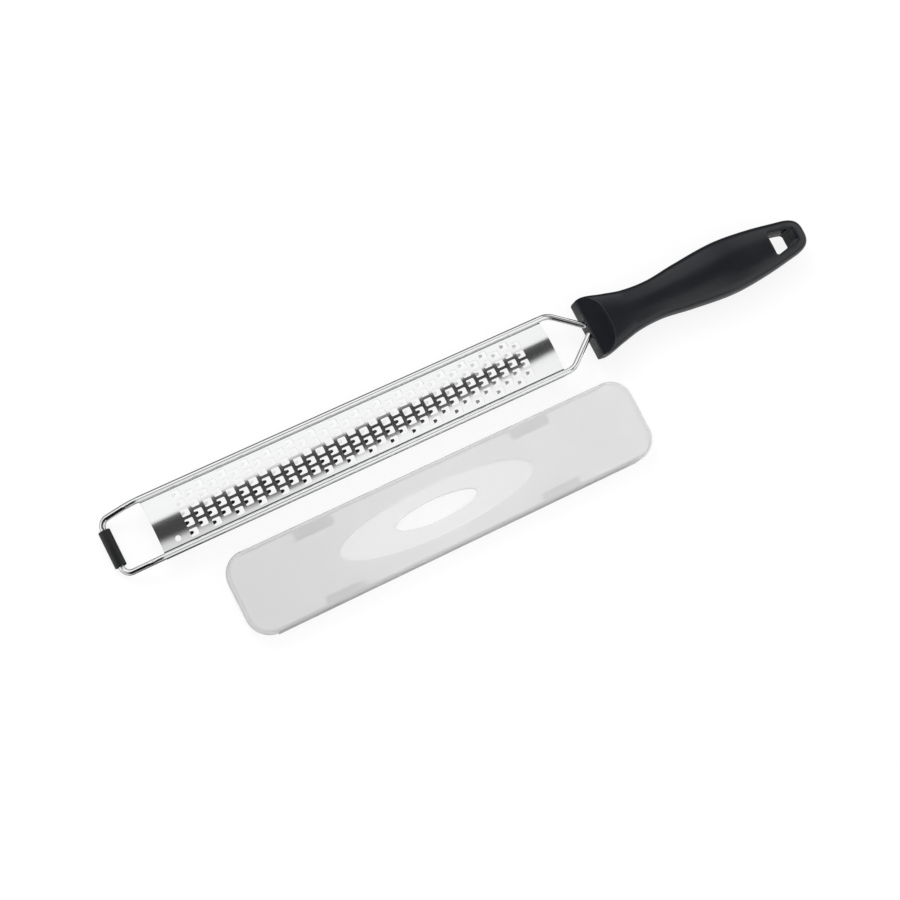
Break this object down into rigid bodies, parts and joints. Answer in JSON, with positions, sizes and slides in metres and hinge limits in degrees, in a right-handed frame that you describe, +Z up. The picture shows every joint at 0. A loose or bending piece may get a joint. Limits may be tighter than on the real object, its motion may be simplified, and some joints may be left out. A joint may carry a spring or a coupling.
{
  "type": "hand grater",
  "caption": "Rasp grater: arched steel blade with staggered raised teeth on a bent wire frame, black handle with a hanging hole, black foot sleeve, and a frosted clip-on cover beside it.",
  "frame": {"origin": "middle of the foot sleeve's underside, where the tip rests on the table", "axes": "+X along the grater from the foot towards the handle, +Y across it, +Z up from the table"},
  "size_m": [0.3956, 0.0867, 0.0184],
  "materials": {
    "frame_steel": "polished bent wire",
    "blade_steel": "bright rolled sheet with punched teeth",
    "sleeve": "satin black",
    "handle": "satin black with a fine texture",
    "cover": "frosted translucent"
  },
  "bodies": {
    "grater": {"wire_frame": "frame_steel", "grating_blade": "blade_steel", "foot_sleeve": "sleeve", "handle_upper_shell": "handle", "handle_lower_shell": "handle"},
    "cover": {"blade_cover": "cover"}
  },
  "joints": [
    {"name": "cover_lift", "type": "slide", "parent": "grater", "child": "cover", "axis": [0, 0, 1], "range_m": [0, 0.05]}
  ]
}
